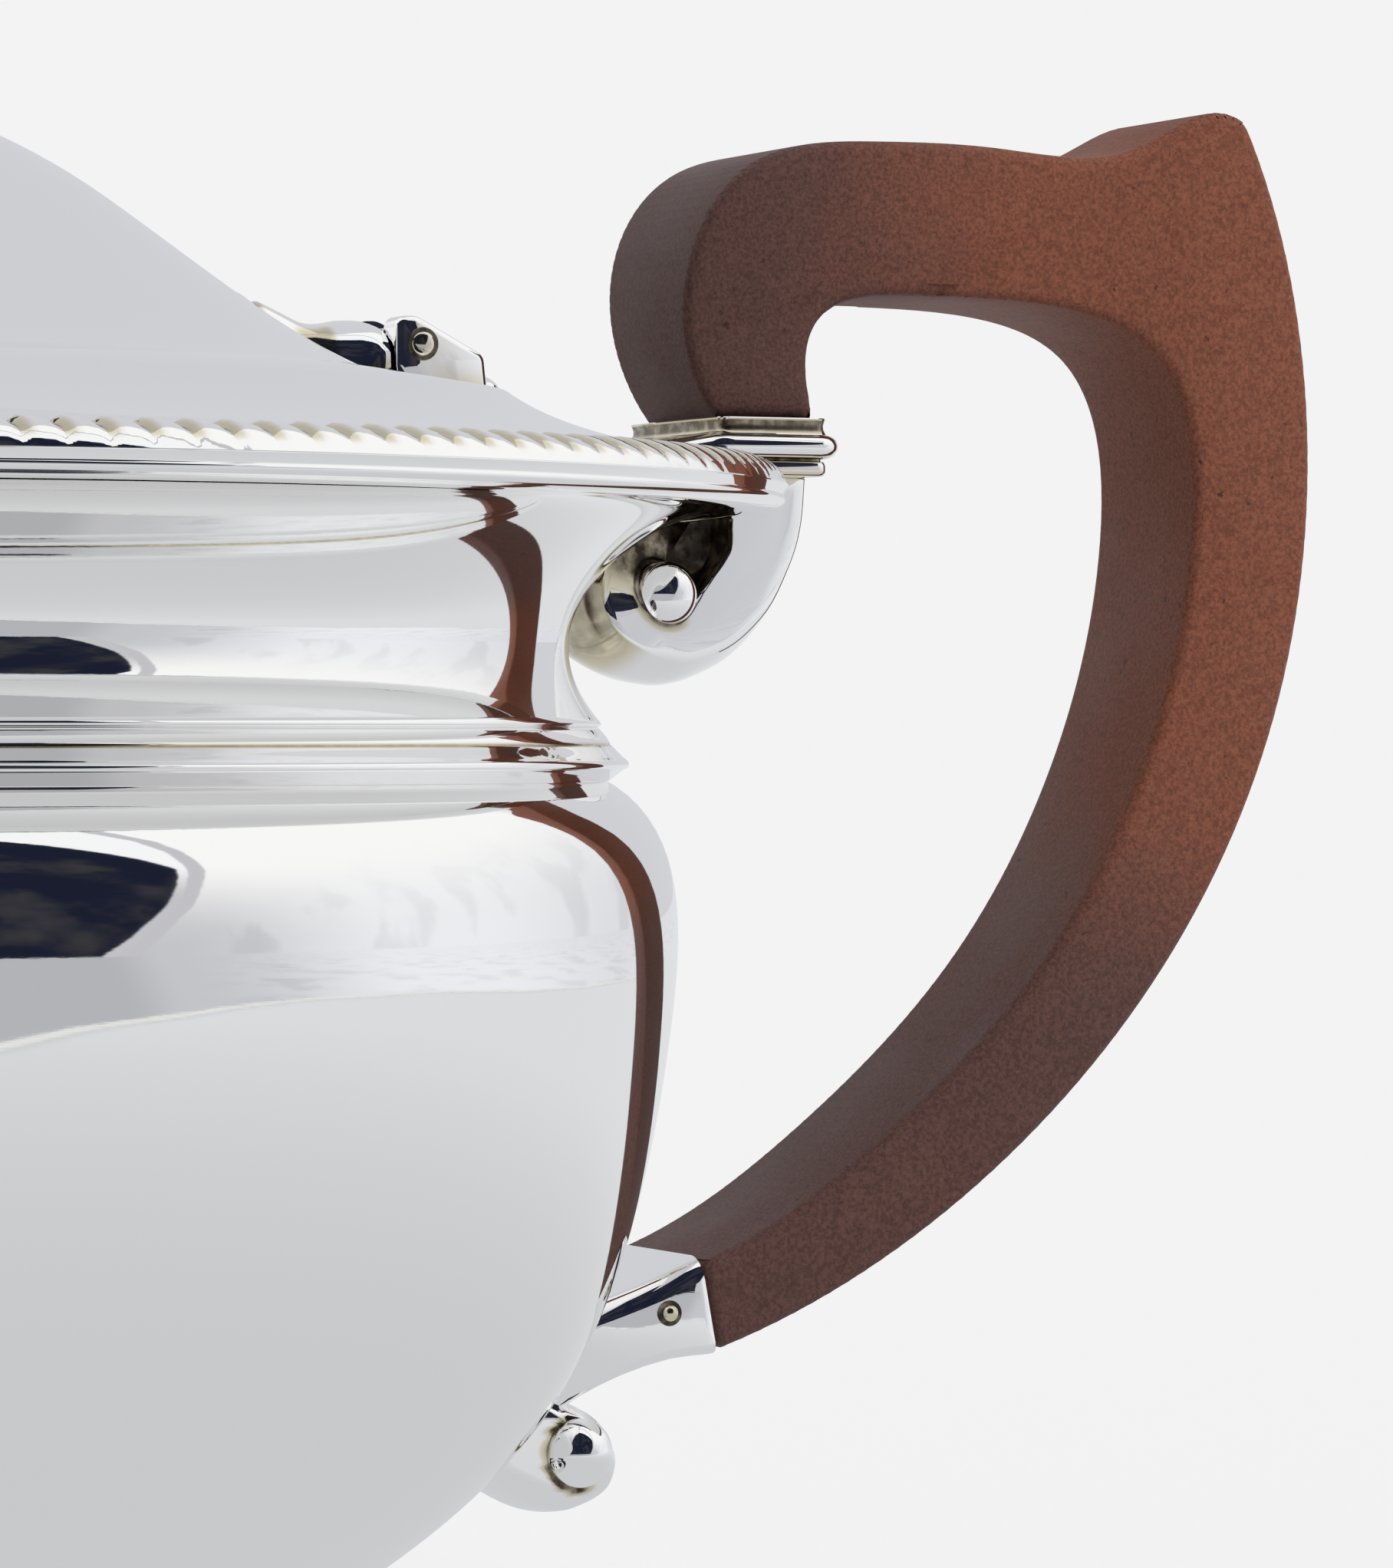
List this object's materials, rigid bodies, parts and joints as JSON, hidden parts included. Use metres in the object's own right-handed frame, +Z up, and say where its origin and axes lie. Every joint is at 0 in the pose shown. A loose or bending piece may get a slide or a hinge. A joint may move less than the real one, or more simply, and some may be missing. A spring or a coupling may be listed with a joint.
{
  "type": "silver coffee pot",
  "caption": "Round polished silver coffee pot with a gadrooned rim, a hinged conical lid, a scrolled wooden handle and a spout.",
  "frame": {"origin": "on the table under the centre of the round bowl", "axes": "+X from the bowl's axis to the handle, +Y along the hinge pin, +Z up along the bowl's axis"},
  "size_m": [0.271, 0.1628, 0.1608],
  "materials": {
    "silver": "polished sterling silver, lightly tarnished in its recesses",
    "wood": "matt oiled reddish-brown hardwood",
    "steel": "plain drawn steel, hidden inside"
  },
  "bodies": {
    "pot": {"body_base": "silver", "body_shell": "silver", "body_top": "silver", "foot_ring": "silver", "neck_band": "silver", "neck_collar": "silver", "gadroon_rim": "silver", "shoulder_plate": "silver", "lid_seat": "silver", "spout": "silver", "hinge_lug": "silver", "hinge_pin": "silver", "handle": "wood", "upper_plate": "silver", "upper_dowel": "steel", "upper_scroll": "silver", "upper_scroll_eye": "silver", "lower_socket": "silver", "lower_rivet": "silver", "lower_scroll": "silver", "lower_scroll_eye": "silver"},
    "lid": {"lid_dome": "silver", "lid_bezel": "silver", "lid_leaf": "silver", "finial_base": "silver", "finial_knob": "wood", "finial_cap": "silver", "finial_stud": "steel", "finial_washer": "steel", "finial_nut": "steel"}
  },
  "joints": [
    {"name": "lid_hinge", "type": "hinge", "parent": "pot", "child": "lid", "pos_m": [0.0546, 0, 0.1175], "axis": [0, 1, 0], "range_deg": [0, 105]}
  ]
}
